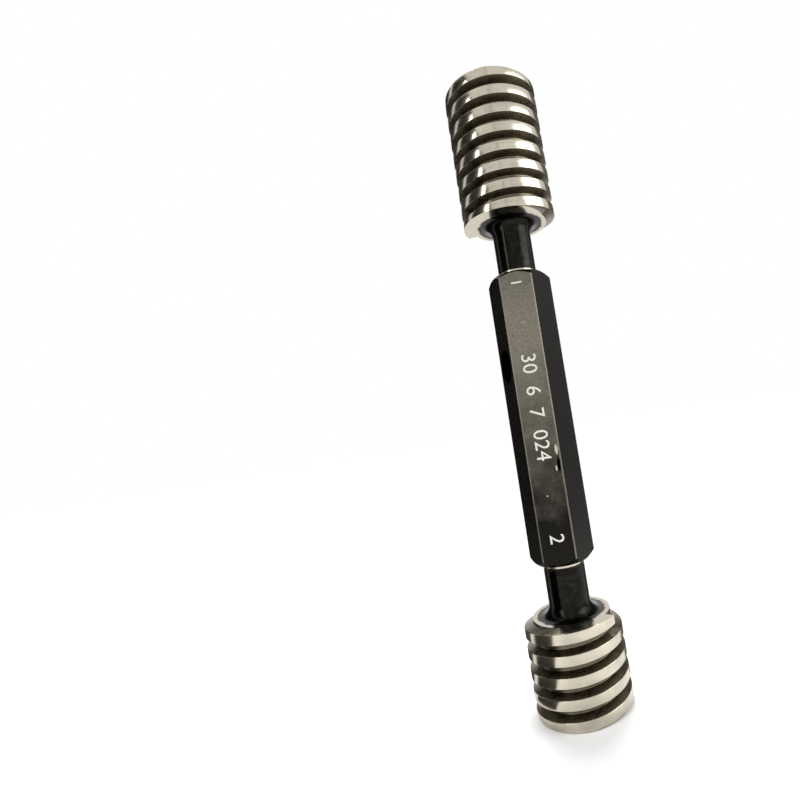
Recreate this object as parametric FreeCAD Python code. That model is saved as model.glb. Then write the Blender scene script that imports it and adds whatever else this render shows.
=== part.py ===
import FreeCAD, Part
import math
import os

# Double-ended thread plug gauge. A hexagon handle carries a long GO head at the top and a short NO-GO
# head at the bottom. Each head is turned with its neck and taper shank from one blank, and the shank
# is wedged in a tapered socket of the handle. The gauge stands on the NO-GO head.
# Millimetres and degrees. +Z runs up the common axis, and the origin is the centre of the lowest face.
# The drift slot runs along X.

os.makedirs("parts", exist_ok=True)

# ---------------------------------------------------------------- thread, the same on both heads
major_dia = 30.0             # over the crests
pitch = 6.0                  # single start, right hand
thread_depth = 3.0           # crest to root, on the radius
crest_width = 2.85           # flat on top of the ridge, along the axis
flank_angle = 15.0           # each flank, from a plane square to the axis
thread_steps = 40            # flat steps in one turn of the ridge and its core, a multiple of four

# ---------------------------------------------------------------- GO member
go_head_length = 44.5
go_neck_exposed = 17.3       # from the head to the handle
go_neck_dia = 12.3
go_lead_angle = -35.0        # where the middle of the crest meets the outer face, from +X
go_outer_crest_left = 0.8    # crest width at which the thin start is ground away, outer face
go_inner_crest_left = 0.8    # the same at the neck side
go_shank_length = 24.8       # inside the handle, long enough to show in the drift slot

# ---------------------------------------------------------------- NO-GO member
no_go_head_length = 27.5
no_go_neck_exposed = 16.0
no_go_neck_dia = 12.9
no_go_lead_angle = 149.2
no_go_outer_crest_left = 0.8
no_go_inner_crest_left = 2.4
no_go_shank_length = 24.0

# ---------------------------------------------------------------- necks, shanks and centres
neck_fillet = 3.5            # between the neck and the head
fillet_steps = 4             # straight steps along its quarter circle
taper_ratio = 50.0           # one in fifty on the diameter
socket_mouth_dia = 12.0      # diameter of the shank where it enters the handle
ground_band = 1.2            # ground taper left showing outside the handle
taper_clearance = 0.01       # on the radius, between shank and socket
shank_chamfer = 0.8
centre_pilot_dia = 2.5
centre_mouth_dia = 5.3
centre_angle = 60.0
centre_pilot_depth = 6.5
centre_drill_point = 118.0

# ---------------------------------------------------------------- handle
handle_length = 90.8
across_flats = 17.7
corner_radius = 0.3          # on the six long edges
end_face_dia = 16.5          # flat left at each end, inside the chamfer
end_chamfer_angle = 45.0     # from the axis
socket_run_out = 2.2         # socket depth past the end of the shank
socket_deburr = 0.3
bore_dia = 8.0               # joins the two sockets
slot_width = 7.5
slot_length = 10.5
slot_from_end = 28.8         # middle of the drift slot, from the handle's GO end
slot_clear = 0.5             # where the socket's ruled surface stops, short of the slot

# ---------------------------------------------------------------- heights that follow
crest_r = major_dia / 2
root_r = crest_r - thread_depth
flank_slope = math.tan(math.radians(flank_angle))

handle_low = no_go_head_length + no_go_neck_exposed
handle_high = handle_low + handle_length
go_inner_face = handle_high + go_neck_exposed
go_outer_face = go_inner_face + go_head_length

AXIS_POINT = FreeCAD.Vector(0, 0, 0)
AXIS = FreeCAD.Vector(0, 0, 1)


def thread_ridge(first_mid, last_mid, face_height, lead_angle):
    """Ridge whose mid-height climbs from first_mid to last_mid, in flat steps along the helix.

    Its corners lie on the four helices at every whole step. The two ends are flat and radial: they are
    the blunt starts of the thread.
    """
    half_crest = crest_width / 2
    half_root = half_crest + thread_depth * flank_slope
    section = [
        (root_r, -half_root),
        (crest_r, -half_crest),
        (crest_r, half_crest),
        (root_r, half_root),
    ]

    def whole_station(step):
        turn = step / thread_steps
        mid = face_height + pitch * (turn - lead_angle / 360)
        c, s = math.cos(2 * math.pi * turn), math.sin(2 * math.pi * turn)
        return [FreeCAD.Vector(r * c, r * s, mid + dz) for r, dz in section]

    def station(step):
        whole = math.floor(step)
        share = step - whole
        if share < 1e-6:
            return whole_station(whole)
        near, far = whole_station(whole), whole_station(whole + 1)
        return [a + (b - a) * share for a, b in zip(near, far)]

    first, last = (
        thread_steps * (lead_angle / 360 + (mid - face_height) / pitch)
        for mid in (first_mid, last_mid))
    steps = [first] + list(range(math.ceil(first), math.floor(last) + 1)) + [last]
    stations = [station(step) for step in steps]
    faces = []
    for near, far in zip(stations[:-1], stations[1:]):
        faces.append(flat_face(near[1], far[1], far[2], near[2]))
        faces.append(flat_face(near[3], far[3], far[0], near[0]))
        for i, j in ((0, 1), (2, 3)):
            faces.append(flat_face(near[i], far[i], far[j]))
            faces.append(flat_face(near[i], far[j], near[j]))
    for corners in (stations[0], stations[-1]):
        faces.append(flat_face(*corners))
    shell = Part.makeShell(faces)
    shell.sewShape()
    solid = Part.makeSolid(Part.Shell(shell.Faces))
    if solid.Volume < 0:
        solid.reverse()
    return solid


def flat_face(*corners):
    return Part.Face(Part.makePolygon(list(corners) + [corners[0]]))


def thread_core(low_face, height):
    """Core under the thread, with a corner at every step of the ridge."""
    corners = [
        FreeCAD.Vector(
            root_r * math.cos(2 * math.pi * k / thread_steps),
            root_r * math.sin(2 * math.pi * k / thread_steps),
            low_face)
        for k in range(thread_steps)
    ]
    return flat_face(*corners).extrude(FreeCAD.Vector(0, 0, height))


def turned(points):
    """Solid turned from a closed profile of (radius, height) points that starts and ends on the axis."""
    wire = Part.makePolygon([FreeCAD.Vector(r, 0, z) for r, z in points + points[:1]])
    solid = Part.Face(wire).revolve(AXIS_POINT, AXIS, 360)
    if solid.Volume < 0:
        solid.reverse()
    return solid


def true_cone(low_r, high_r, low, high):
    return Part.makeCone(low_r, high_r, high - low, FreeCAD.Vector(0, 0, low))


def tapered(low_r, high_r, low, high):
    """Slender taper between two heights, kept as one ruled surface."""
    return true_cone(low_r, high_r, low, high).toNurbs()


def centre_hole(end, inward):
    """Centre hole as the solid to be taken out: pilot, drill point and sixty-degree mouth."""
    pilot = centre_pilot_dia / 2
    mouth = centre_mouth_dia / 2
    cone = (mouth - pilot) / math.tan(math.radians(centre_angle / 2))
    tip = pilot / math.tan(math.radians(centre_drill_point / 2))
    return turned([
        (0.0, end + inward * (centre_pilot_depth + tip)),
        (pilot, end + inward * centre_pilot_depth),
        (pilot, end + inward * cone),
        (mouth, end),
        (0.0, end),
    ])


def stem(outer_face, d, head_length, neck_exposed, neck_dia, shank_length):
    """Neck with its fillet at the head, ground band and taper shank. d points towards the handle."""
    inner_face = outer_face + d * head_length
    mouth = inner_face + d * neck_exposed
    end = mouth + d * shank_length
    band = mouth - d * ground_band
    chamfer = end - d * shank_chamfer
    neck_r = neck_dia / 2
    hub_r = neck_r + neck_fillet

    def taper_r(height):
        return socket_mouth_dia / 2 - d * (height - mouth) / (2 * taper_ratio)

    step = neck_r - taper_r(band)
    neck = turned(
        [(0, inner_face)]
        + [(hub_r - neck_fillet * math.sin(a), inner_face + d * neck_fillet * (1 - math.cos(a)))
           for a in (math.radians(90 * k / fillet_steps) for k in range(fillet_steps + 1))]
        + [(neck_r, band - d * step), (taper_r(band), band), (0, band)])
    low, high = sorted((band, chamfer))
    shank = tapered(taper_r(low), taper_r(high), low, high)
    tip = turned([(0, chamfer), (taper_r(chamfer), chamfer), (taper_r(end) - shank_chamfer, end), (0, end)])
    return neck.fuse([shank, tip]), end


def threaded_head(low_face, high_face, low_left, high_left, lead_face, lead_angle):
    """Core and thread ridge of a head, both cut square by its two faces."""
    ridge = thread_ridge(
        low_face - crest_width / 2 + low_left,
        high_face + crest_width / 2 - high_left,
        lead_face,
        lead_angle,
    )
    height = high_face - low_face
    slab = Part.makeBox(2 * major_dia, 2 * major_dia, height,
                        FreeCAD.Vector(-major_dia, -major_dia, low_face))
    return thread_core(low_face, height).fuse(ridge.common(slab)).removeSplitter()


def member(head, outer_face, d, head_length, neck_exposed, neck_dia, shank_length):
    """Head, neck and shank in one piece, with a centre hole in each end."""
    lower, end = stem(outer_face, d, head_length, neck_exposed, neck_dia, shank_length)
    whole = head.fuse(lower).removeSplitter()
    for face, inward in ((outer_face, d), (end, -d)):
        whole = whole.cut(centre_hole(face, inward))
    return whole


# ---------------------------------------------------------------- GO member
go_head = threaded_head(
    go_inner_face, go_outer_face, go_inner_crest_left, go_outer_crest_left,
    go_outer_face, go_lead_angle)
go_member = member(
    go_head, go_outer_face, -1, go_head_length, go_neck_exposed, go_neck_dia, go_shank_length)

# ---------------------------------------------------------------- NO-GO member
no_go_head = threaded_head(
    0.0, no_go_head_length, no_go_outer_crest_left, no_go_inner_crest_left, 0.0, no_go_lead_angle)
no_go_member = member(
    no_go_head, 0.0, 1, no_go_head_length, no_go_neck_exposed, no_go_neck_dia, no_go_shank_length)


# ---------------------------------------------------------------- handle
def hexagon_bar():
    """Hexagon bar with two flats square to X, eased along its six long edges."""
    corner = across_flats / math.sqrt(3)
    points = []
    for k in range(7):
        a = math.radians(30 + 60 * k)
        points.append(FreeCAD.Vector(corner * math.cos(a), corner * math.sin(a), handle_low))
    bar = Part.Face(Part.makePolygon(points)).extrude(FreeCAD.Vector(0, 0, handle_length))
    long_edges = [
        e for e in bar.Edges
        if abs(e.Vertexes[0].Z - e.Vertexes[-1].Z) > handle_length / 2
    ]
    return bar.makeFillet(corner_radius, long_edges)


def turned_envelope():
    """Body of revolution that cuts the chamfer on both ends of the bar."""
    face_r = end_face_dia / 2
    wide_r = across_flats / math.sqrt(3) + 1.0
    run = (wide_r - face_r) / math.tan(math.radians(end_chamfer_angle))
    points = [
        (0.0, handle_low),
        (face_r, handle_low),
        (wide_r, handle_low + run),
        (wide_r, handle_high - run),
        (face_r, handle_high),
        (0.0, handle_high),
        (0.0, handle_low),
    ]
    wire = Part.makePolygon([FreeCAD.Vector(r, 0, z) for r, z in points])
    return Part.Face(wire).revolve(AXIS_POINT, AXIS, 360)


def socket(mouth, inward, shank_length, smooth_depth):
    """Tapered socket with an eased mouth, as the solids to be taken out.

    Down to smooth_depth nothing crosses it, and it is one ruled surface.
    """
    depth = shank_length + socket_run_out
    mouth_r = socket_mouth_dia / 2 + taper_clearance

    def piece(make, near, far):
        ends = sorted((mouth + inward * z, mouth_r - z / (2 * taper_ratio)) for z in (near, far))
        return make(ends[0][1], ends[1][1], ends[0][0], ends[1][0])

    easing = turned([
        (0.0, mouth - inward * socket_deburr),
        (mouth_r + 2 * socket_deburr, mouth - inward * socket_deburr),
        (mouth_r, mouth + inward * socket_deburr),
        (0.0, mouth + inward * socket_deburr),
    ])
    tools = [easing, piece(tapered, 0.0, min(depth, smooth_depth))]
    if smooth_depth < depth:
        tools.append(piece(true_cone, smooth_depth, depth))
    return tools


def drift_slot():
    """Obround slot through the handle along X."""
    middle = handle_high - slot_from_end
    reach = across_flats
    half = slot_length / 2 - slot_width / 2
    r = slot_width / 2
    up = FreeCAD.Vector(-reach, 0, middle + half)
    down = FreeCAD.Vector(-reach, 0, middle - half)
    side = FreeCAD.Vector(0, r, 0)
    edges = [
        Part.makeLine(down + side, up + side),
        Part.Arc(up + side, up + FreeCAD.Vector(0, 0, r), up - side).toShape(),
        Part.makeLine(up - side, down - side),
        Part.Arc(down - side, down - FreeCAD.Vector(0, 0, r), down + side).toShape(),
    ]
    return Part.Face(Part.Wire(edges)).extrude(FreeCAD.Vector(2 * reach, 0, 0))


bore = Part.makeCylinder(bore_dia / 2, handle_length, FreeCAD.Vector(0, 0, handle_low))
handle = hexagon_bar().common(turned_envelope())
slot_clear_depth = slot_from_end - slot_length / 2 - slot_clear
for tool in (socket(handle_high, -1, go_shank_length, slot_clear_depth)
             + socket(handle_low, 1, no_go_shank_length, handle_length)):
    handle = handle.cut(tool)
handle = handle.cut(bore)
handle = handle.cut(drift_slot())
handle = handle.removeSplitter()

# ---------------------------------------------------------------- one file for each piece
for node, shape in (
    ("handle", handle),
    ("go_member", go_member),
    ("no_go_member", no_go_member),
):
    box = shape.optimalBoundingBox(False)
    print(node, "valid", shape.isValid(), "solids", len(shape.Solids), "faces", len(shape.Faces),
          "volume", round(shape.Volume, 1), "z", round(box.ZMin, 3), round(box.ZMax, 3))
    shape.exportStep("parts/" + node + ".step")
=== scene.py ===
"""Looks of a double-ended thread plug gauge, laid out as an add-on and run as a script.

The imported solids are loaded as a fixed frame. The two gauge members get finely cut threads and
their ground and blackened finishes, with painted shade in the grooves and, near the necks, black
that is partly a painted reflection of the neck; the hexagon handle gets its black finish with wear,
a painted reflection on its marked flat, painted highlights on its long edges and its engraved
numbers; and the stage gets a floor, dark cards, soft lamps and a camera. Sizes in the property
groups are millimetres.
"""

import math

import bmesh
import bpy
from mathutils import Matrix, Vector


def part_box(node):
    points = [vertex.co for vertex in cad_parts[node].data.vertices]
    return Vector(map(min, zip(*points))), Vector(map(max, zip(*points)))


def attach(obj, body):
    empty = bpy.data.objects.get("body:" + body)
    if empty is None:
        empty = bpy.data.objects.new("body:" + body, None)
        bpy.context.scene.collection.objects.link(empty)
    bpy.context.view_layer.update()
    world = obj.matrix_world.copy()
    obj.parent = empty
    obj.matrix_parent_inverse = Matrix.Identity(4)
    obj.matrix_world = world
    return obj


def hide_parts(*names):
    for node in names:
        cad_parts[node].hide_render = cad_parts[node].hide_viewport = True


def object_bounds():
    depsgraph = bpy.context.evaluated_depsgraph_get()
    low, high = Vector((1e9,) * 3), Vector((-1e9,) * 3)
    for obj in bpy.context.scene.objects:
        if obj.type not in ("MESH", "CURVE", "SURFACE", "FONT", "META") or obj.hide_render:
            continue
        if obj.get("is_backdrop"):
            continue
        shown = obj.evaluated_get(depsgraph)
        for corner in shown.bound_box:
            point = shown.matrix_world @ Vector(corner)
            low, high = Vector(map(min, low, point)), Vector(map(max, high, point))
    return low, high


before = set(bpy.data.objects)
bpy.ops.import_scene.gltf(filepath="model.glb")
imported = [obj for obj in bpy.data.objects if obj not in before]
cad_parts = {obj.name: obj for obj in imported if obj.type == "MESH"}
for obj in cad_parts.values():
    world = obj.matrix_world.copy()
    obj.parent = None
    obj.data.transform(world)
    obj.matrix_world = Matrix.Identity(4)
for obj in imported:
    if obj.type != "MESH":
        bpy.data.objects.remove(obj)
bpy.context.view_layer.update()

bl_info = {
    "name": "Thread plug gauge",
    "version": (1, 0, 0),
    "blender": (4, 5, 0),
    "location": "View3D > Sidebar > Thread gauge",
    "description": "Fine threads, finishes, engraving and stage for a thread plug gauge",
    "category": "Object",
}

MM = 0.001
TURN = 2 * math.pi


def top_of(node):
    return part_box(node)[1].z / MM


def foot_of(node):
    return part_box(node)[0].z / MM


# ------------------------------------------------------------------------------ sizes and colours
class ThreadSizes(bpy.types.PropertyGroup):
    major_dia: bpy.props.FloatProperty(
        name="Major diameter", description="Over the crests, in millimetres", default=30.0, min=1.0)
    depth: bpy.props.FloatProperty(
        name="Thread depth", description="Crest to root on the radius, in millimetres", default=3.0)
    pitch: bpy.props.FloatProperty(
        name="Pitch", description="Height of one turn, in millimetres", default=6.0)
    crest_width: bpy.props.FloatProperty(
        name="Crest width", description="Flat on top of the ridge, in millimetres", default=2.85)
    flank_angle: bpy.props.FloatProperty(
        name="Flank angle", description="Slope of each flank", default=math.radians(15.0),
        subtype="ANGLE")
    crest_ease: bpy.props.FloatProperty(
        name="Crest easing", description="Rounding of the crest corners, in millimetres",
        default=0.12)
    root_fillet: bpy.props.FloatProperty(
        name="Root fillet", description="Rounding at the foot of a flank, in millimetres",
        default=0.25)
    left_hand: bpy.props.BoolProperty(
        name="Left hand", description="The thread climbs clockwise", default=False)
    columns: bpy.props.IntProperty(
        name="Columns", description="Steps around one turn", default=180, min=24)


class HeadSizes(bpy.types.PropertyGroup):
    head_length: bpy.props.FloatProperty(
        name="Head length", description="Threaded length, in millimetres", default=44.5)
    neck_exposed: bpy.props.FloatProperty(
        name="Neck shown", description="From the head to the handle, in millimetres", default=17.3)
    neck_dia: bpy.props.FloatProperty(
        name="Neck diameter", description="In millimetres", default=12.3)
    shank_length: bpy.props.FloatProperty(
        name="Shank length", description="Taper inside the handle, in millimetres", default=24.8)
    lead_angle: bpy.props.FloatProperty(
        name="Lead angle", description="Where the middle of the crest meets the outer face",
        default=0.0, subtype="ANGLE")
    outer_left: bpy.props.FloatProperty(
        name="Outer start", description="Crest width at the blunt start, outer face", default=0.8)
    inner_left: bpy.props.FloatProperty(
        name="Inner start", description="Crest width at the blunt start, neck side", default=0.8)


class MemberSizes(bpy.types.PropertyGroup):
    neck_fillet: bpy.props.FloatProperty(
        name="Neck fillet", description="Between neck and head, in millimetres", default=3.5)
    mouth_dia: bpy.props.FloatProperty(
        name="Mouth diameter", description="Shank where it enters the handle, in millimetres",
        default=12.0)
    taper_ratio: bpy.props.FloatProperty(
        name="Taper", description="One in this many on the diameter", default=50.0)
    ground_band: bpy.props.FloatProperty(
        name="Ground band", description="Ground taper left outside the handle, in millimetres",
        default=1.2)
    shank_chamfer: bpy.props.FloatProperty(
        name="Shank chamfer", description="In millimetres", default=0.8)
    pilot_dia: bpy.props.FloatProperty(
        name="Centre pilot", description="Diameter in millimetres", default=2.5)
    centre_dia: bpy.props.FloatProperty(
        name="Centre mouth", description="Diameter in millimetres", default=5.3)
    pilot_depth: bpy.props.FloatProperty(
        name="Centre depth", description="In millimetres", default=6.5)


class FinishColours(bpy.types.PropertyGroup):
    ground: bpy.props.FloatVectorProperty(
        name="Ground steel", description="Crests and ground faces", subtype="COLOR", size=3,
        default=(0.60, 0.55, 0.45), min=0, max=1)
    # The groove colour is the flanks' own brownish steel, made far darker than the ground steel as
    # painted shade in the grooves.
    groove: bpy.props.FloatVectorProperty(
        name="Groove steel", description="Flanks and roots", subtype="COLOR", size=3,
        default=(0.12, 0.102, 0.070), min=0, max=1)
    black: bpy.props.FloatVectorProperty(
        name="Black finish", description="Necks", subtype="COLOR", size=3,
        default=(0.010, 0.0095, 0.008), min=0, max=1)
    handle: bpy.props.FloatVectorProperty(
        name="Handle finish", description="Hexagon handle", subtype="COLOR", size=3,
        default=(0.011, 0.0105, 0.009), min=0, max=1)
    # Colour of the marked flat: partly the black finish thinned by rubbing, partly a painted
    # reflection of bright light.
    worn: bpy.props.FloatVectorProperty(
        name="Worn handle", description="Black finish rubbed thin by the hand", subtype="COLOR",
        size=3, default=(0.27, 0.245, 0.195), min=0, max=1)
    mark: bpy.props.FloatVectorProperty(
        name="Engraving", description="Bright metal in the engraved numbers", subtype="COLOR",
        size=3, default=(0.80, 0.79, 0.70), min=0, max=1)


class StageSettings(bpy.types.PropertyGroup):
    floor: bpy.props.FloatVectorProperty(
        name="Floor", description="Colour of the floor", subtype="COLOR", size=3,
        default=(1.0, 1.0, 1.0), min=0, max=1)
    sky: bpy.props.FloatProperty(
        name="World strength", description="Plain light from all round, as a share of white",
        default=0.45)
    key: bpy.props.FloatProperty(
        name="Key lamp", description="Watts of the broad lamp on the right", default=0.5)
    sun: bpy.props.FloatProperty(
        name="Sun", description="Strength of the soft light from above", default=2.05)
    rim: bpy.props.FloatProperty(
        name="Strip lamp", description="Watts of the narrow lamp on the left", default=0.15)


class GaugeSettings(bpy.types.PropertyGroup):
    thread: bpy.props.PointerProperty(type=ThreadSizes)
    go: bpy.props.PointerProperty(type=HeadSizes)
    no_go: bpy.props.PointerProperty(type=HeadSizes)
    member: bpy.props.PointerProperty(type=MemberSizes)
    colours: bpy.props.PointerProperty(type=FinishColours)
    stage: bpy.props.PointerProperty(type=StageSettings)


# ------------------------------------------------------------------------------ mesh helpers
def ring(bm, radius, height, angles):
    return [bm.verts.new((radius * math.cos(a), radius * math.sin(a), height)) for a in angles]


def skin(bm, low, high, material):
    """Quads between two rings of the same count."""
    count = len(low)
    for i in range(count):
        j = (i + 1) % count
        bm.faces.new((low[i], low[j], high[j], high[i])).material_index = material


def turn_profile(bm, points, angles, materials):
    """Turn a profile of (radius, height) points about Z and return its first and last rings."""
    rings = []
    for radius, height in points:
        if radius == 0:
            rings.append(bm.verts.new((0, 0, height)))
        else:
            rings.append(ring(bm, radius, height, angles))
    for step, (low, high) in enumerate(zip(rings[:-1], rings[1:])):
        if isinstance(high, list):
            skin(bm, low, high, materials[step])
        else:
            for i in range(len(low)):
                face = bm.faces.new((low[i], low[(i + 1) % len(low)], high))
                face.material_index = materials[step]
    return rings[0], rings[-1]


def arc_points(centre, radius, first, last, steps):
    """Points (x, y) along an arc, ends included."""
    return [
        (centre[0] + radius * math.cos(first + (last - first) * i / steps),
         centre[1] + radius * math.sin(first + (last - first) * i / steps))
        for i in range(steps + 1)
    ]


def finish_mesh(bm, name, sharp_angle=math.radians(28)):
    """Orient and smooth a mesh, scale it to metres and put it in the scene."""
    bmesh.ops.recalc_face_normals(bm, faces=bm.faces)
    bmesh.ops.scale(bm, vec=(MM, MM, MM), verts=bm.verts)
    for face in bm.faces:
        face.smooth = True
    for edge in bm.edges:
        edge.smooth = len(edge.link_faces) == 2 and edge.calc_face_angle() < sharp_angle
    mesh = bpy.data.meshes.new(name)
    bm.to_mesh(mesh)
    bm.free()
    piece = bpy.data.objects.new(name, mesh)
    bpy.context.scene.collection.objects.link(piece)
    return piece


# ------------------------------------------------------------------------------ thread
CREST, GROOVE, FACE, NECK, SHANK = range(5)


def ridge_section(thread):
    """Half of one pitch as (height from the ridge's middle, radius), root side first."""
    crest = thread.major_dia / 2
    root = crest - thread.depth
    slope = math.tan(thread.flank_angle)
    half_crest = thread.crest_width / 2
    half_root = half_crest + thread.depth * slope
    tilt = thread.flank_angle
    ease = thread.crest_ease
    fillet = thread.root_fillet
    reach = math.tan((math.pi / 2 - tilt) / 2)
    points = [(-thread.pitch / 2, root)]
    points.append((-(thread.pitch / 2 + half_root) / 2, root))
    centre = (-half_root - fillet * reach, root + fillet)
    points += arc_points(centre, fillet, -math.pi / 2, -tilt, 3)
    centre = (-half_crest + ease * reach, crest - ease)
    points += arc_points(centre, ease, math.pi - tilt, math.pi / 2, 3)
    points.append((0.0, crest))
    return points


def thread_surface(bm, thread, head, low_face, high_face, lead_face, low_left, high_left):
    """Threaded surface of a head, cut square at both faces. Returns its two rims as edges."""
    crest = thread.major_dia / 2
    root = crest - thread.depth
    pitch = thread.pitch
    lead = head.lead_angle / TURN
    climb = -pitch if thread.left_hand else pitch
    half = ridge_section(thread)
    section = half + [(-h, r) for h, r in reversed(half[:-1])]
    starts = (low_face - thread.crest_width / 2 + low_left,
              high_face + thread.crest_width / 2 - high_left)
    first, last = sorted(lead + (middle - lead_face) / climb for middle in starts)

    specials = [first % 1.0, last % 1.0]
    gap = 0.3 / thread.columns
    shares = [k / thread.columns for k in range(thread.columns)]
    shares = [s for s in shares
              if all(min(abs(s - q), 1 - abs(s - q)) > gap for q in specials)]
    shares = sorted(shares + specials)
    turns = [n + s for n in range(math.floor(first) - 2, math.ceil(last) + 2) for s in shares]

    def column(turn, ridged):
        middle = lead_face + (turn - lead) * climb
        angle = turn * TURN
        verts = []
        for height, radius in section:
            r = radius if ridged else root
            verts.append(bm.verts.new((r * math.cos(angle), r * math.sin(angle), middle + height)))
        return verts

    tiny = 1e-9
    columns = []
    for turn in turns:
        if abs(turn - first) < tiny:
            columns += [column(turn, False), column(turn, True)]
        elif abs(turn - last) < tiny:
            columns += [column(turn, True), column(turn, False)]
        else:
            columns.append(column(turn, first < turn < last))
    crest_edge = crest - thread.crest_ease * 1.01
    for left, right in zip(columns[:-1], columns[1:]):
        for i in range(len(section) - 1):
            corners = (left[i], right[i], right[i + 1], left[i + 1])
            on_crest = all(math.hypot(v.co.x, v.co.y) > crest_edge for v in corners)
            bm.faces.new(corners).material_index = CREST if on_crest else GROOVE
    bmesh.ops.remove_doubles(bm, verts=bm.verts, dist=1e-4)
    bmesh.ops.dissolve_degenerate(bm, dist=1e-5, edges=bm.edges)
    rims = []
    for height, side in ((low_face, -1), (high_face, 1)):
        geometry = list(bm.verts) + list(bm.edges) + list(bm.faces)
        bmesh.ops.bisect_plane(
            bm, geom=geometry, dist=1e-5, plane_co=(0, 0, height), plane_no=(0, 0, side),
            clear_outer=True)
    for height in (low_face, high_face):
        rims.append([e for e in bm.edges if e.is_boundary
                     and all(abs(v.co.z - height) < 1e-3 for v in e.verts)])
    return rims


def close_face(bm, rim, inner):
    """Flat face between a rim and the ring of vertices inside it."""
    ring_edges = []
    for i, vert in enumerate(inner):
        other = inner[(i + 1) % len(inner)]
        edge = bm.edges.get((vert, other)) or bm.edges.new((vert, other))
        ring_edges.append(edge)
    filled = bmesh.ops.triangle_fill(bm, use_beauty=True, edges=rim + ring_edges)
    for item in filled["geom"]:
        if isinstance(item, bmesh.types.BMFace):
            item.material_index = FACE


def centre_hole(member, end, inward):
    """Profile (radius, height) of a centre hole from its mouth to its tip."""
    pilot = member.pilot_dia / 2
    mouth = member.centre_dia / 2
    cone = (mouth - pilot) / math.tan(math.radians(30))
    tip = pilot / math.tan(math.radians(59))
    depth = member.pilot_depth
    return [(mouth, end), (pilot, end + inward * cone), (pilot, end + inward * depth),
            (0.0, end + inward * (depth + tip))]


def gauge_member(name, thread, member, head, outer_face, inward):
    """One member in one mesh: threaded head, neck, ground band, taper shank and centre holes."""
    inner_face = outer_face + inward * head.head_length
    mouth = inner_face + inward * head.neck_exposed
    end = mouth + inward * head.shank_length
    band = mouth - inward * member.ground_band
    low, high = sorted((outer_face, inner_face))
    lefts = (head.inner_left, head.outer_left)
    if inward > 0:
        lefts = (head.outer_left, head.inner_left)
    bm = bmesh.new()
    rims = thread_surface(bm, thread, head, low, high, outer_face, *lefts)
    outer_rim, inner_rim = rims if inward > 0 else reversed(rims)

    def taper(height):
        return member.mouth_dia / 2 - inward * (height - mouth) / (2 * member.taper_ratio)

    neck = head.neck_dia / 2
    fillet = member.neck_fillet
    angles = [TURN * i / thread.columns for i in range(thread.columns)]
    cap = thread.major_dia / 2 - thread.depth - 0.8
    outer = [(cap, outer_face)] + centre_hole(member, outer_face, inward)
    outer_ring, _ = turn_profile(bm, outer, angles, [FACE, SHANK, SHANK, SHANK])

    bend = arc_points((neck + fillet, 0.0), fillet, -math.pi / 2, -math.pi, 12)
    profile = [(cap, inner_face)]
    profile += [(r, inner_face + inward * (h + fillet)) for r, h in bend]
    neck_steps = len(profile)
    step = neck - taper(band)
    profile += [(neck, band - inward * step), (taper(band), band), (taper(mouth), mouth)]
    profile += [(taper(end - inward * member.shank_chamfer), end - inward * member.shank_chamfer),
                (taper(end) - member.shank_chamfer, end)]
    profile += centre_hole(member, end, -inward)
    materials = [FACE] + [NECK] * (neck_steps - 1)
    materials += [SHANK] * (len(profile) - 1 - len(materials))
    inner_ring, _ = turn_profile(bm, profile, angles, materials)
    close_face(bm, outer_rim, outer_ring)
    close_face(bm, inner_rim, inner_ring)
    return finish_mesh(bm, name)


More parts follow.
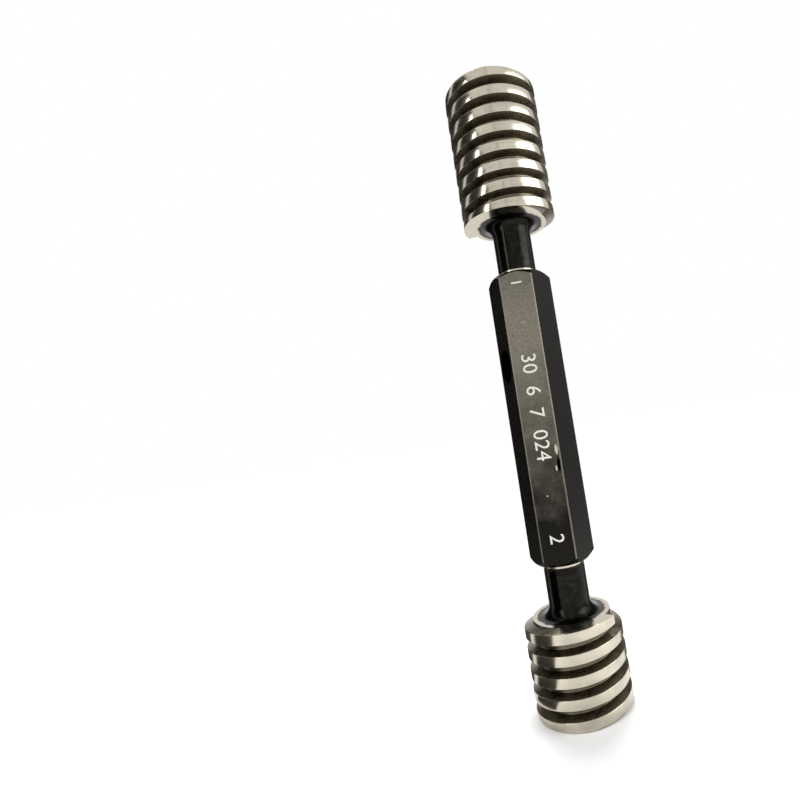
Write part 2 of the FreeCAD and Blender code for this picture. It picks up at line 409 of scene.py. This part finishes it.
# ------------------------------------------------------------------------------ materials
class Shader:
    """Short way to build a node material."""

    def __init__(self, name):
        self.material = bpy.data.materials.new(name)
        self.material.use_nodes = True
        self.tree = self.material.node_tree
        self.bsdf = self.tree.nodes["Principled BSDF"]
        self.place = self.add("ShaderNodeTexCoord").outputs["Object"]

    def add(self, kind, **settings):
        node = self.tree.nodes.new(kind)
        for key, value in settings.items():
            setattr(node, key, value)
        return node

    def link(self, source, target):
        self.tree.links.new(source, target)

    def put(self, socket, value):
        if isinstance(value, bpy.types.NodeSocket):
            self.link(value, socket)
        else:
            socket.default_value = value

    def math(self, operation, a, b=0.0, clamp=False):
        node = self.add("ShaderNodeMath", operation=operation, use_clamp=clamp)
        for socket, value in zip(node.inputs, (a, b)):
            self.put(socket, value)
        return node.outputs[0]

    def noise(self, scale, detail=3.0, roughness=0.55, stretch=(1, 1, 1)):
        """Noise in the object's millimetres: a scale of 1 has features of about 1 mm."""
        mapping = self.add("ShaderNodeMapping")
        mapping.inputs["Scale"].default_value = tuple(s / MM for s in stretch)
        self.link(self.place, mapping.inputs["Vector"])
        node = self.add("ShaderNodeTexNoise")
        self.link(mapping.outputs[0], node.inputs["Vector"])
        node.inputs["Scale"].default_value = scale
        node.inputs["Detail"].default_value = detail
        node.inputs["Roughness"].default_value = roughness
        return node.outputs["Fac"]

    def turned_lines(self, fineness, detail=3):
        """Fine lines around the axis, as a lathe or a grinding wheel leaves them."""
        return self.noise(1.0, detail=detail, stretch=(0.05, 0.05, fineness))

    def waver(self, noise, reach):
        """Noise turned into a shift to both sides of nought, about half of reach each way."""
        return self.math("MULTIPLY", self.math("SUBTRACT", noise, 0.5), reach)

    def span(self, value, low, high, to_low=0.0, to_high=1.0):
        node = self.add("ShaderNodeMapRange", clamp=True)
        self.put(node.inputs["Value"], value)
        for key, number in (("From Min", low), ("From Max", high), ("To Min", to_low),
                            ("To Max", to_high)):
            self.put(node.inputs[key], number)
        return node.outputs[0]

    def blend(self, share, a, b):
        node = self.add("ShaderNodeMix", data_type="RGBA")
        self.put(node.inputs[0], share)
        for socket, colour in ((node.inputs[6], a), (node.inputs[7], b)):
            if isinstance(colour, bpy.types.NodeSocket):
                self.link(colour, socket)
            else:
                socket.default_value = (*colour, 1.0)
        return node.outputs[2]

    def axes(self):
        node = self.add("ShaderNodeSeparateXYZ")
        self.link(self.place, node.inputs[0])
        return node.outputs

    def from_axis(self, x, y):
        """Distance from the gauge's axis, in metres."""
        squares = self.math("ADD", self.math("MULTIPLY", x, x), self.math("MULTIPLY", y, y))
        return self.math("SQRT", squares)

    def bump(self, height, distance):
        node = self.add("ShaderNodeBump")
        node.inputs["Strength"].default_value = 1.0
        node.inputs["Distance"].default_value = distance * MM
        self.link(height, node.inputs["Height"])
        self.link(node.outputs[0], self.bsdf.inputs["Normal"])

    def finish(self, colour, roughness, metallic=1.0):
        if isinstance(colour, bpy.types.NodeSocket):
            self.link(colour, self.bsdf.inputs["Base Color"])
        else:
            self.bsdf.inputs["Base Color"].default_value = (*colour, 1.0)
        self.put(self.bsdf.inputs["Roughness"], roughness)
        self.bsdf.inputs["Metallic"].default_value = metallic
        return self.material


def scaled(colour, factor):
    """Colour made darker or lighter by a factor."""
    return tuple(min(1.0, c * factor) for c in colour)


def ground_crest(colours):
    """Ground crest: bright steel with fine lines around the axis."""
    s = Shader("ground_crest")
    lines = s.turned_lines(9.0, detail=4)
    cloud = s.noise(0.25, detail=2)
    tone = s.math("ADD", s.math("MULTIPLY", lines, 0.5), s.math("MULTIPLY", cloud, 0.5))
    colour = s.blend(s.span(tone, 0.35, 0.65), scaled(colours.ground, 0.72), colours.ground)
    s.bump(lines, 0.012)
    return s.finish(colour, s.span(lines, 0.3, 0.7, 0.12, 0.22))


def groove_steel(colours):
    """Flanks and roots: cut steel, darker towards the root as painted shade deep in the groove."""
    s = Shader("groove_steel")
    x, y, z = s.axes()
    radius = s.from_axis(x, y)
    lines = s.turned_lines(7.0)
    cloud = s.noise(0.5, detail=3)
    # Painted shade: the steel gets darker towards the root, deep in the groove.
    depth = s.span(radius, 12.2 * MM, 15.0 * MM)
    tone = s.math("ADD", s.math("MULTIPLY", depth, 0.35), s.math("MULTIPLY", cloud, 0.25))
    colour = s.blend(tone, colours.groove, scaled(colours.ground, 0.6))
    s.bump(lines, 0.012)
    return s.finish(colour, s.span(cloud, 0.3, 0.7, 0.22, 0.36))


# Where the black near the neck ends on the neck-side faces (radius), and the heights between which
# a face is on the neck side, in millimetres. The black is partly the neck's finish carried onto the
# face and partly a painted reflection of the black neck in the ground face.
BLACK_AND_REFLECTION_EDGE = (11.0, 11.7)
ABOVE_FOOT = (2.0, 3.0)
BELOW_TOP = (190.0, 189.0)


def in_metres(pair):
    return tuple(value * MM for value in pair)


def end_face_steel(colours):
    """Ground end face: lapped steel; the black near the neck is partly the neck's finish and partly
    its painted reflection.
    """
    s = Shader("end_face_steel")
    x, y, z = s.axes()
    radius = s.from_axis(x, y)
    # Black near the neck: partly the neck's own finish, partly a painted reflection of the black
    # neck in the ground face.
    edge = s.math("ADD", radius, s.math("MULTIPLY", s.noise(0.35, detail=3), 1.6 * MM))
    share = s.span(edge, *in_metres(BLACK_AND_REFLECTION_EDGE))
    on_neck_side = s.math(
        "MULTIPLY", s.span(z, *in_metres(ABOVE_FOOT)), s.span(z, *in_metres(BELOW_TOP)))
    black_and_reflection_share = s.math("MULTIPLY", s.math("SUBTRACT", 1.0, share), on_neck_side)
    grain = s.noise(6.0, detail=3)
    bright = s.blend(s.span(grain, 0.35, 0.65), scaled(colours.ground, 0.85), colours.ground)
    colour = s.blend(black_and_reflection_share, bright, colours.black)
    s.bump(grain, 0.004)
    return s.finish(colour, s.math("ADD", 0.18, s.math("MULTIPLY", black_and_reflection_share, 0.2)))


def black_neck(colours):
    """Blackened neck: dark oxide over turned steel, thin in places."""
    s = Shader("black_neck")
    lines = s.turned_lines(6.0)
    patches = s.noise(0.6, detail=4)
    colour = s.blend(s.span(patches, 0.45, 0.75), colours.black, scaled(colours.black, 2.2))
    s.bump(lines, 0.015)
    return s.finish(colour, s.span(patches, 0.3, 0.7, 0.14, 0.24))


def shank_steel(colours):
    """Ground taper and centre holes."""
    s = Shader("shank_steel")
    lines = s.turned_lines(8.0)
    colour = s.blend(s.span(lines, 0.35, 0.65), scaled(colours.ground, 0.8), colours.ground)
    s.bump(lines, 0.01)
    return s.finish(colour, 0.28)


# Wear of the handle and painted light on it, in millimetres. The marked flat faces FLAT_NORMAL.
# RUB_AND_REFLECTION_FADE is where that flat's brightening starts and is full: partly rubbing of the
# black finish and partly a painted reflection of bright light on the flat. TOP_FADE is where it
# lessens again towards the GO end, FLAT_REACH the distance from the axis that picks out that flat,
# and CORNER_WEAR_AND_HIGHLIGHT the radius at which the long edges turn bright: partly edge wear and
# partly a painted highlight on their rounding.
FLAT_NORMAL = math.radians(-120)
RUB_AND_REFLECTION_FADE = (58.0, 112.0)
RUB_AND_REFLECTION_WAVER = 34.0
TOP_FADE = (121.0, 134.0)
FLAT_REACH = (8.80, 8.84)
CORNER_WEAR_AND_HIGHLIGHT = (10.02, 10.14)
CORNER_WAVER = 0.25
# Chips and spots: place across the flat, height, half width, half height, and how bright.
WEAR_SPOTS = (
    (4.2, 78.0, 0.5, 1.6, 0.9), (4.3, 73.6, 0.6, 2.4, 0.0), (3.4, 72.4, 0.3, 0.9, 0.9),
    (-0.6, 64.6, 0.25, 0.25, 1.0), (0.4, 117.6, 0.5, 0.3, 0.5),
)


def handle_black(colours):
    """Black handle finish: wear on the marked flat and edges, plus painted reflection on the flat
    and painted edge highlights.
    """
    s = Shader("handle_black")
    x, y, z = s.axes()
    radius = s.from_axis(x, y)
    out = s.math("ADD", s.math("MULTIPLY", x, math.cos(FLAT_NORMAL)),
                 s.math("MULTIPLY", y, math.sin(FLAT_NORMAL)))
    across = s.math("SUBTRACT", s.math("MULTIPLY", x, -math.sin(FLAT_NORMAL)),
                    s.math("MULTIPLY", y, -math.cos(FLAT_NORMAL)))
    fine = s.noise(2.6, detail=5, roughness=0.7)
    cloud = s.noise(0.16, detail=4)
    specks = s.noise(5.0, detail=2)
    # Painted reflection: the marked flat brightens towards the GO end, partly as rubbing of the
    # finish and partly as a painted reflection of bright light.
    height = s.math("ADD", z, s.waver(cloud, RUB_AND_REFLECTION_WAVER * MM))
    fade = s.span(height, *in_metres(RUB_AND_REFLECTION_FADE))
    near_top = s.span(z, *in_metres(TOP_FADE), 1.0, 0.72)
    on_flat = s.span(out, *in_metres(FLAT_REACH))
    rubbed_and_reflection = s.math("MULTIPLY", s.math("MULTIPLY", fade, near_top), on_flat)
    grain = s.math(
        "ADD", s.span(fine, 0.36, 0.66, 0.45, 1.0), s.span(specks, 0.60, 0.72, 0.0, 0.25))
    rubbed_and_reflection = s.math("MULTIPLY", rubbed_and_reflection, grain, clamp=True)
    colour = s.blend(
        s.span(fine, 0.35, 0.7), scaled(colours.handle, 0.7), scaled(colours.handle, 1.8))
    colour = s.blend(rubbed_and_reflection, colour, colours.worn)
    # Painted highlight: the long edges turn to bare-steel colour, partly edge wear and partly a
    # painted highlight on their rounding.
    edge = s.math("ADD", radius, s.waver(fine, CORNER_WAVER * MM))
    edge_wear_and_highlight = s.span(edge, *in_metres(CORNER_WEAR_AND_HIGHLIGHT), 0.0, 0.5)
    colour = s.blend(edge_wear_and_highlight, colour, scaled(colours.ground, 0.5))
    for side, middle, half_width, half_height, bright in WEAR_SPOTS:
        u = s.math("DIVIDE", s.math("SUBTRACT", across, side * MM), half_width * MM)
        v = s.math("DIVIDE", s.math("SUBTRACT", z, middle * MM), half_height * MM)
        away = s.math("ADD", s.math("MULTIPLY", u, u), s.math("MULTIPLY", v, v))
        away = s.math("ADD", away, s.waver(fine, 3.0))
        share = s.math("MULTIPLY", s.span(away, 1.0, 0.6), on_flat)
        colour = s.blend(share, colour, scaled(colours.ground, bright))
    s.bump(fine, 0.02)
    rough = s.math("ADD", s.span(fine, 0.3, 0.7, 0.24, 0.34), s.math("MULTIPLY", rubbed_and_reflection, 0.16))
    return s.finish(colour, rough)


def engraved_bright(colours):
    """Bright metal at the bottom of an engraved stroke."""
    s = Shader("engraved_bright")
    grain = s.noise(4.0, detail=3)
    colour = s.blend(s.span(grain, 0.3, 0.7), scaled(colours.mark, 0.7), colours.mark)
    return s.finish(colour, 0.5, metallic=0.6)


def dress(piece, makers, colours):
    """Put the materials that the makers give in a piece's slots, in order."""
    slots = piece.data.materials
    for place, maker in enumerate(makers):
        material = bpy.data.materials.get(maker.__name__) or maker(colours)
        if place < len(slots):
            slots[place] = material
        else:
            slots.append(material)


# ------------------------------------------------------------------------------ operators
MEMBER_MAKERS = (ground_crest, groove_steel, end_face_steel, black_neck, shank_steel)


class GAUGE_OT_go_member(bpy.types.Operator):
    """Make the GO member with its long threaded head"""
    bl_idname = "gauge.go_member"
    bl_label = "GO member"

    def execute(self, context):
        settings = context.scene.gauge
        piece = gauge_member(
            "go_plug", settings.thread, settings.member, settings.go, top_of("go_member"), -1)
        dress(piece, MEMBER_MAKERS, settings.colours)
        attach(piece, "root")
        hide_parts("go_member")
        return {"FINISHED"}


class GAUGE_OT_no_go_member(bpy.types.Operator):
    """Make the NO-GO member with its short threaded head"""
    bl_idname = "gauge.no_go_member"
    bl_label = "NO-GO member"

    def execute(self, context):
        settings = context.scene.gauge
        piece = gauge_member(
            "no_go_plug", settings.thread, settings.member, settings.no_go,
            foot_of("no_go_member"), 1)
        dress(piece, MEMBER_MAKERS, settings.colours)
        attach(piece, "root")
        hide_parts("no_go_member")
        return {"FINISHED"}


class GAUGE_OT_handle(bpy.types.Operator):
    """Give the hexagon handle its black finish, wear, painted reflection and painted edge
    highlights
    """
    bl_idname = "gauge.handle"
    bl_label = "Handle finish"

    def execute(self, context):
        dress(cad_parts["handle"], (handle_black,), context.scene.gauge.colours)
        return {"FINISHED"}


# Plain numbers along the marked flat: text, height of the row's middle and letter size, how far the
# strokes stand proud of the flat and how deep they are let in, in millimetres.
MARKS = (("1", 130.2, 4.8), ("30  6  7  024", 91.5, 6.4), ("2", 51.8, 6.2))
MARK_PROUD = 0.02
MARK_DEPTH = 0.10


def engraved_row(name, text, middle, size, flat_distance):
    """Row of numbers that runs down the flat, as thin bright strokes let into its surface."""
    curve = bpy.data.curves.new(name, "FONT")
    curve.body = text
    curve.size = size * MM
    curve.align_x = "CENTER"
    curve.align_y = "CENTER"
    curve.extrude = (MARK_DEPTH + MARK_PROUD) / 2 * MM
    curve.resolution_u = 3
    writer = bpy.data.objects.new(name + "_text", curve)
    bpy.context.scene.collection.objects.link(writer)
    bpy.context.view_layer.update()
    mesh = bpy.data.meshes.new_from_object(writer)
    bpy.data.objects.remove(writer)
    normal = Vector((math.cos(FLAT_NORMAL), math.sin(FLAT_NORMAL), 0))
    along = Vector((0, 0, -1))
    up = normal.cross(along)
    turn = Matrix((along, up, normal)).transposed().to_4x4()
    centre = normal * (flat_distance + (MARK_PROUD - MARK_DEPTH) / 2) + Vector((0, 0, middle))
    mesh.transform(Matrix.Translation(centre * MM) @ turn)
    mesh.name = name
    row = bpy.data.objects.new(name, mesh)
    bpy.context.scene.collection.objects.link(row)
    return row


class GAUGE_OT_marks(bpy.types.Operator):
    """Engrave the plain numbers on the front flat of the handle"""
    bl_idname = "gauge.marks"
    bl_label = "Engraved numbers"

    def execute(self, context):
        low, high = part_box("handle")
        flat_distance = (high.x - low.x) / 2 / MM
        for place, (text, middle, size) in enumerate(MARKS):
            row = engraved_row(f"mark_row_{place + 1}", text, middle, size, flat_distance)
            dress(row, (engraved_bright,), context.scene.gauge.colours)
            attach(row, "root")
        return {"FINISHED"}


# Camera: its right, up and back directions, its place in millimetres, its focal length as a share
# of the picture's width, and its shift. Then the lamps: name, place, target and size in
# millimetres, and the floor, in metres across and millimetres below the lowest face.
CAMERA_AXES = (
    (0.89629, -0.41401, -0.15892),
    (0.11371, -0.13183, 0.98473),
    (-0.42864, -0.90067, -0.07108),
)
CAMERA_PLACE = (-62.285, -142.607, 85.319)
FOCAL_SHARE = 486.17 / 800
SHIFT = (-0.1899, -0.0127)
SENSOR_WIDTH = 36.0
NEAREST_SEEN = 0.005
KEY_PANEL = ("key_panel", (170, -160, 190), (0, 0, 110), (180, 240))
STRIP_PANEL = ("strip_panel", (-190, -60, 150), (0, 0, 110), (20, 260))
SUN_DIRECTION = (-0.17, -0.38, -0.91)
SUN_SPREAD = math.radians(28)
FLOOR_HALF_WIDTH = 40.0
FLOOR_BELOW = 0.02


def area_lamp(name, place, target, size, watts):
    """Rectangular lamp that faces its target."""
    data = bpy.data.lights.new(name, "AREA")
    data.shape = "RECTANGLE"
    data.size, data.size_y = (s * MM for s in size)
    data.energy = watts
    lamp = bpy.data.objects.new(name, data)
    lamp.location = Vector(place) * MM
    towards = (Vector(target) - Vector(place)).normalized()
    lamp.rotation_euler = towards.to_track_quat("-Z", "Y").to_euler()
    bpy.context.scene.collection.objects.link(lamp)


# Dark cards that the steel mirrors. Each has its tone and its levels: distance from the axis,
# height, and first and last direction about the axis in degrees.
DARK_CARDS = (
    ("card_left", 0.02, ((21, 0.5, -212, -162), (260, 0.5, -212, -162), (260, 257, -212, -148),
                         (260, 460, -212, -172))),
    ("card_back_left", 0.04, ((21, 0.5, -268, -226), (260, 0.5, -268, -226),
                              (260, 460, -268, -226))),
    ("card_seam", 0.01, ((260, 150, -114.4, -112.8), (260, 460, -114.4, -112.8))),
    ("card_right", 0.14, ((21, 0.5, 2, 40), (260, 0.5, 2, 40), (260, 460, 8, 50))),
)
CARD_STEPS = 14
CARD_TINT = (1.0, 0.93, 0.78)


def dark_card(name, tone, levels):
    """Dark card on the floor and upright behind it, which only mirrored rays meet."""
    bm = bmesh.new()
    rows = [
        ring(bm, distance, height, [
            math.radians(first + (last - first) * i / CARD_STEPS) for i in range(CARD_STEPS + 1)])
        for distance, height, first, last in levels
    ]
    for low, high in zip(rows[:-1], rows[1:]):
        for i in range(CARD_STEPS):
            bm.faces.new((low[i], low[i + 1], high[i + 1], high[i]))
    card = finish_mesh(bm, name)
    s = Shader(name + "_cloth")
    card.data.materials.append(s.finish(scaled(CARD_TINT, tone), 1.0, metallic=0.0))
    card.visible_camera = False
    card.visible_diffuse = False
    card.visible_shadow = False
    card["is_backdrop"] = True


def plain_floor(colour):
    """Pale floor just under the lowest face."""
    bm = bmesh.new()
    bmesh.ops.create_grid(bm, x_segments=2, y_segments=2, size=FLOOR_HALF_WIDTH)
    mesh = bpy.data.meshes.new("floor")
    bm.to_mesh(mesh)
    bm.free()
    floor = bpy.data.objects.new("floor", mesh)
    floor.location.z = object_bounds()[0][2] - FLOOR_BELOW * MM
    bpy.context.scene.collection.objects.link(floor)
    s = Shader("floor_paper")
    paper = s.blend(s.noise(0.5, detail=2), scaled(colour, 0.995), colour)
    s.bsdf.inputs["Specular IOR Level"].default_value = 0.0
    floor.data.materials.append(s.finish(paper, 1.0, metallic=0.0))
    floor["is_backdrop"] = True


def studio_world(sky):
    """White surroundings: at full strength where seen or mirrored, at sky's strength as light."""
    world = bpy.data.worlds.new("studio")
    world.use_nodes = True
    nodes, links = world.node_tree.nodes, world.node_tree.links
    background = nodes["Background"]
    background.inputs["Color"].default_value = (1, 1, 1, 1)
    path = nodes.new("ShaderNodeLightPath")
    seen = path.outputs["Is Camera Ray"]
    for ray in ("Is Glossy Ray", "Is Transmission Ray"):
        join = nodes.new("ShaderNodeMath")
        join.operation = "MAXIMUM"
        links.new(path.outputs[ray], join.inputs[0])
        links.new(seen, join.inputs[1])
        seen = join.outputs[0]
    strength = nodes.new("ShaderNodeMapRange")
    links.new(seen, strength.inputs["Value"])
    strength.inputs["To Min"].default_value = sky
    strength.inputs["To Max"].default_value = 1.0
    links.new(strength.outputs[0], background.inputs["Strength"])
    bpy.context.scene.world = world


def soft_sun(energy):
    """Wide sun from above, which gives the soft shadow on the floor."""
    data = bpy.data.lights.new("soft_sun", "SUN")
    data.energy = energy
    data.angle = SUN_SPREAD
    lamp = bpy.data.objects.new("soft_sun", data)
    lamp.rotation_euler = Vector(SUN_DIRECTION).to_track_quat("-Z", "Y").to_euler()
    bpy.context.scene.collection.objects.link(lamp)


def fixed_camera():
    """Camera that looks at the gauge from the front."""
    data = bpy.data.cameras.new("camera")
    data.sensor_width = SENSOR_WIDTH
    data.lens = SENSOR_WIDTH * FOCAL_SHARE
    data.shift_x, data.shift_y = SHIFT
    data.clip_start = NEAREST_SEEN
    camera = bpy.data.objects.new("camera", data)
    axes = Matrix(CAMERA_AXES).transposed().to_4x4()
    camera.matrix_world = Matrix.Translation(Vector(CAMERA_PLACE) * MM) @ axes
    bpy.context.scene.collection.objects.link(camera)
    bpy.context.scene.camera = camera


class GAUGE_OT_stage(bpy.types.Operator):
    """Set the floor, the lamps, the world and the camera"""
    bl_idname = "gauge.stage"
    bl_label = "Stage"

    def execute(self, context):
        settings = context.scene.gauge.stage
        context.scene.view_settings.view_transform = "Standard"
        plain_floor(settings.floor)
        studio_world(settings.sky)
        for card in DARK_CARDS:
            dark_card(*card)
        area_lamp(*KEY_PANEL, settings.key)
        soft_sun(settings.sun)
        area_lamp(*STRIP_PANEL, settings.rim)
        fixed_camera()
        return {"FINISHED"}


class GAUGE_PT_panel(bpy.types.Panel):
    bl_label = "Thread gauge"
    bl_idname = "GAUGE_PT_panel"
    bl_space_type = "VIEW_3D"
    bl_region_type = "UI"
    bl_category = "Thread gauge"

    def draw(self, context):
        for operator in OPERATORS:
            self.layout.operator(operator.bl_idname)


OPERATORS = (
    GAUGE_OT_go_member, GAUGE_OT_no_go_member, GAUGE_OT_handle, GAUGE_OT_marks, GAUGE_OT_stage)
GROUPS = (ThreadSizes, HeadSizes, MemberSizes, FinishColours, StageSettings, GaugeSettings)

# What differs from the defaults of HeadSizes, which are those of the GO head.
NO_GO_SIZES = {
    "head_length": 27.5, "neck_exposed": 16.0, "neck_dia": 12.9, "shank_length": 24.0,
    "lead_angle": math.radians(149.2), "outer_left": 0.8, "inner_left": 2.4,
}
GO_LEAD_ANGLE = math.radians(-35.0)


def register():
    for item in GROUPS + OPERATORS + (GAUGE_PT_panel,):
        bpy.utils.register_class(item)
    bpy.types.Scene.gauge = bpy.props.PointerProperty(type=GaugeSettings)


def unregister():
    del bpy.types.Scene.gauge
    for item in reversed(GROUPS + OPERATORS + (GAUGE_PT_panel,)):
        bpy.utils.unregister_class(item)


def main():
    register()
    settings = bpy.context.scene.gauge
    settings.go.lead_angle = GO_LEAD_ANGLE
    for key, value in NO_GO_SIZES.items():
        setattr(settings.no_go, key, value)
    bpy.ops.gauge.go_member()
    bpy.ops.gauge.no_go_member()
    bpy.ops.gauge.handle()
    bpy.ops.gauge.marks()
    bpy.ops.gauge.stage()


if __name__ == "__main__":
    main()
